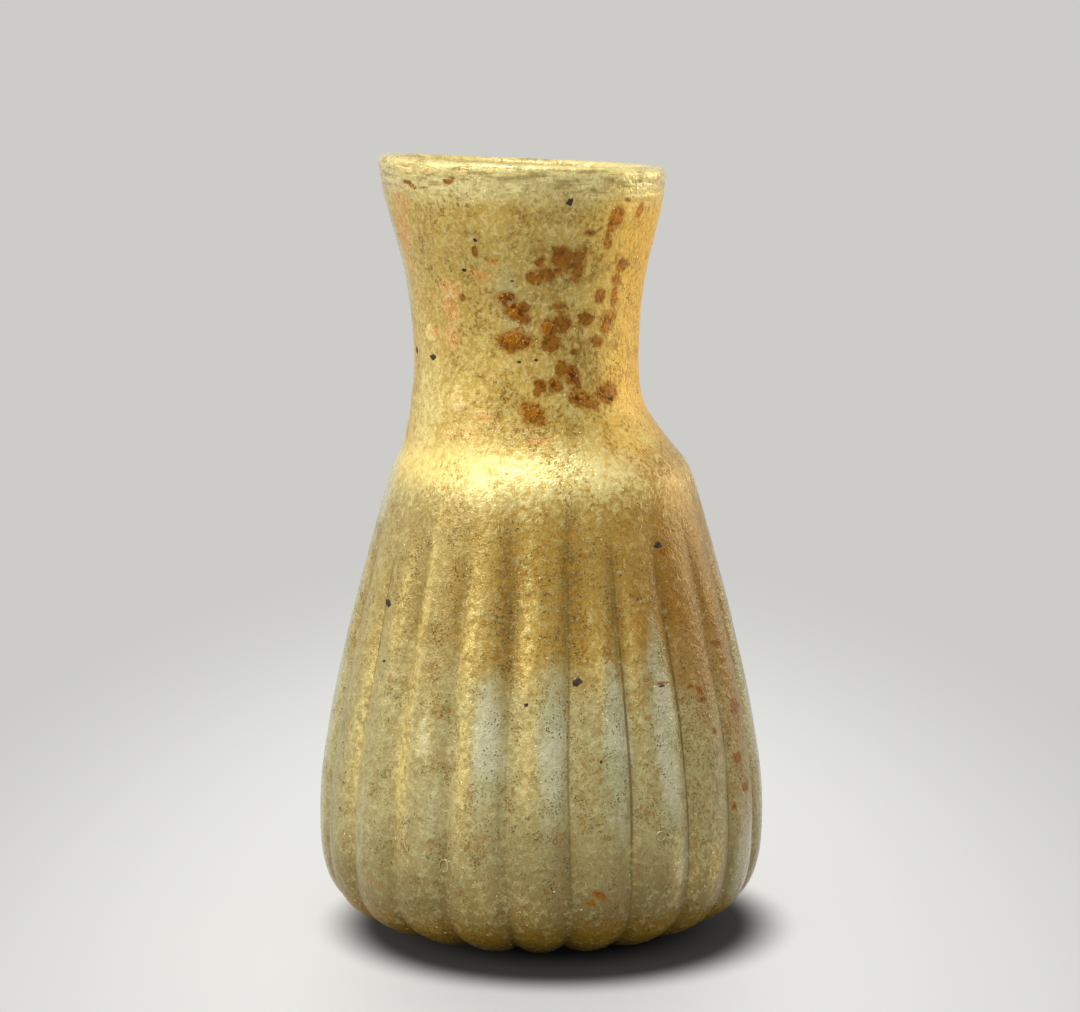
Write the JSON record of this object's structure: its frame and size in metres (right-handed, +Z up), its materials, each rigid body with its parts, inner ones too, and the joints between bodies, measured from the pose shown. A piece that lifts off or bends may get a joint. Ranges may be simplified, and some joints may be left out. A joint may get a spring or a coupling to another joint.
{
  "type": "glass perfume flask",
  "caption": "Small ribbed glass perfume flask with a sack-shaped body, a wide waisted neck and an open flared mouth, its old glass weathered golden.",
  "frame": {"origin": "middle of the base, on the plane that the resting ring stands on", "axes": "+Z up through the mouth, -Y towards the front, -X towards the side that the neck leans to"},
  "size_m": [0.0528, 0.0532, 0.091],
  "materials": {
    "weathered_glass": "satin, weathered, with golden iridescence and brown deposits"
  },
  "bodies": {
    "root": {"flask_glass": "weathered_glass"}
  },
  "joints": []
}
